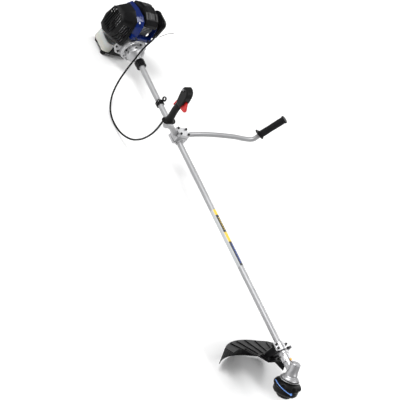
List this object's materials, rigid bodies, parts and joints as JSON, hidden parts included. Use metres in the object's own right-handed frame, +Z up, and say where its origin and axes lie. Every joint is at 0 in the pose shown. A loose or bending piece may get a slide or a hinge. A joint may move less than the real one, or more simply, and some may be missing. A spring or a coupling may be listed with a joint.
{
  "type": "string trimmer",
  "caption": "Petrol string trimmer: engine with fuel tank, long straight drive tube, bull-horn handlebar with throttle grip, angled gear case, line head and guard.",
  "frame": {"origin": "centre of the object's bounding box in X and Y, at floor level, with the machine at rest on its four stand feet and the lowest point of the guard's rim", "axes": "+Z up; +X forwards along the tube, from the engine to the line head, raised by the rest pitch of about 3 degrees; +Y to the user's left"},
  "size_m": [1.9907, 0.6949, 0.5589],
  "materials": {
    "cast_aluminium": "satin, fine cast texture",
    "steel": "machined",
    "black_steel": "black oxide",
    "black_plastic": "moulded, satin",
    "grip_plastic": "moulded, matt",
    "blue_plastic": "gloss",
    "grey_plastic": "moulded, satin",
    "red_plastic": "gloss",
    "tank_plastic": "translucent white, satin",
    "tube_silver": "anodised, smooth",
    "rubber": "matt",
    "primer": "soft, slightly glossy",
    "brass": "machined",
    "line": "gloss",
    "label": "printed film"
  },
  "bodies": {
    "machine": {"crankcase": "cast_aluminium", "cylinder": "cast_aluminium", "spark_plug": "steel", "plug_cap": "rubber", "top_cover": "black_plastic", "blue_shroud": "blue_plastic", "muffler": "steel", "muffler_guard": "black_plastic", "intake_block": "black_plastic", "carburettor": "cast_aluminium", "filter_base": "black_plastic", "filter_cover": "black_plastic", "starter_housing": "black_plastic", "fuel_tank": "tank_plastic", "tank_stand": "black_plastic", "fan_housing": "cast_aluminium", "clutch_housing": "cast_aluminium", "tube_collar": "black_plastic", "engine_screws": "black_steel", "drive_tube": "tube_silver", "shaft_bushes": "rubber", "tube_label": "label", "hanger_clamp": "black_plastic", "handle_base": "cast_aluminium", "handle_saddle": "cast_aluminium", "handle_cap": "cast_aluminium", "handle_bolts": "black_steel", "handlebar": "tube_silver", "throttle_grip": "grip_plastic", "left_grip": "rubber", "throttle_cable": "rubber", "guard_bracket": "black_plastic", "bracket_cap": "cast_aluminium", "bracket_bolts": "black_steel", "head_guard": "black_plastic", "line_cutter": "steel", "gear_case": "cast_aluminium", "bearings": "steel", "grease_plug": "brass"},
    "crank": {"crankshaft": "steel", "flywheel": "cast_aluminium", "clutch_shoes": "steel"},
    "driveline": {"clutch_drum": "steel", "drive_shaft": "steel", "pinion": "steel"},
    "head": {"output_gear": "steel", "output_flange": "steel", "spool_housing": "grip_plastic", "line_spool": "grip_plastic", "trimmer_line": "line"},
    "bump_knob": {"bump_knob": "grip_plastic"},
    "starter_pulley": {"starter_pulley": "black_plastic"},
    "starter_handle": {"starter_handle": "black_plastic"},
    "fuel_cap": {"fuel_cap": "black_plastic"},
    "choke_lever": {"choke_lever": "black_plastic"},
    "primer_bulb": {"primer_bulb": "primer"},
    "filter_knob": {"filter_knob": "black_plastic"},
    "throttle_trigger": {"throttle_trigger": "red_plastic"},
    "trigger_lockout": {"trigger_lockout": "red_plastic"},
    "stop_switch": {"stop_switch": "grey_plastic"}
  },
  "joints": [
    {"name": "crank_spin", "type": "hinge", "parent": "machine", "child": "crank", "pos_m": [-0.86838, 0, 0.12324], "axis": [0.9984, 0, 0.0566], "continuous": true},
    {"name": "drive_spin", "type": "hinge", "parent": "machine", "child": "driveline", "pos_m": [-0.01974, 0, 0.17135], "axis": [0.9984, 0, 0.0566], "continuous": true},
    {"name": "head_spin", "type": "hinge", "parent": "machine", "child": "head", "pos_m": [0.93119, 0, 0.18188], "axis": [0.5482, 0, -0.8363], "continuous": true},
    {"name": "bump_press", "type": "slide", "parent": "head", "child": "bump_knob", "axis": [-0.5482, 0, 0.8363], "range_m": [0, 0.003], "stiffness_N_per_m": 3000, "springref_m": -0.001},
    {"name": "starter_pull", "type": "slide", "parent": "machine", "child": "starter_handle", "axis": [0, 1, 0], "range_m": [0, 0.3], "stiffness_N_per_m": 40, "springref_m": -0.1},
    {"name": "starter_turn", "type": "hinge", "parent": "machine", "child": "starter_pulley", "pos_m": [-0.9742, 0, 0.11725], "axis": [-0.9984, 0, -0.0566], "range_deg": [0, 460]},
    {"name": "fuel_cap_turn", "type": "hinge", "parent": "machine", "child": "fuel_cap", "pos_m": [-0.89755, 0.066, 0.07251], "axis": [-0.0566, 0, 0.9984], "range_deg": [0, 180]},
    {"name": "choke_turn", "type": "hinge", "parent": "machine", "child": "choke_lever", "pos_m": [-0.93466, 0.076, 0.26772], "axis": [0, 1, 0], "range_deg": [-40, 0]},
    {"name": "primer_press", "type": "slide", "parent": "machine", "child": "primer_bulb", "axis": [-0.0566, 0, 0.9984], "range_m": [0, 0.004], "stiffness_N_per_m": 1500, "springref_m": -0.001},
    {"name": "filter_knob_turn", "type": "hinge", "parent": "machine", "child": "filter_knob", "pos_m": [-0.9009, 0.108, 0.23759], "axis": [0, 1, 0], "range_deg": [0, 360]},
    {"name": "throttle_pull", "type": "hinge", "parent": "machine", "child": "throttle_trigger", "pos_m": [-0.18623, -0.31897, 0.49796], "axis": [-0.011, 0.9808, 0.1948], "range_deg": [0, 12], "stiffness_Nm_per_rad": 1.2, "springref_deg": -5.73},
    {"name": "lockout_press", "type": "hinge", "parent": "machine", "child": "trigger_lockout", "pos_m": [-0.21764, -0.31559, 0.47915], "axis": [-0.011, 0.9808, 0.1948], "range_deg": [-9, 0], "stiffness_Nm_per_rad": 0.8, "springref_deg": 5.73},
    {"name": "stop_slide", "type": "slide", "parent": "machine", "child": "stop_switch", "axis": [0.9878, -0.0195, 0.1543], "range_m": [0, 0.003]}
  ],
  "couplings": [
    {"joint": "drive_spin", "follows": "head_spin", "ratio": 1.3571},
    {"joint": "starter_turn", "follows": "starter_pull", "rad_per_m": 26.316}
  ]
}
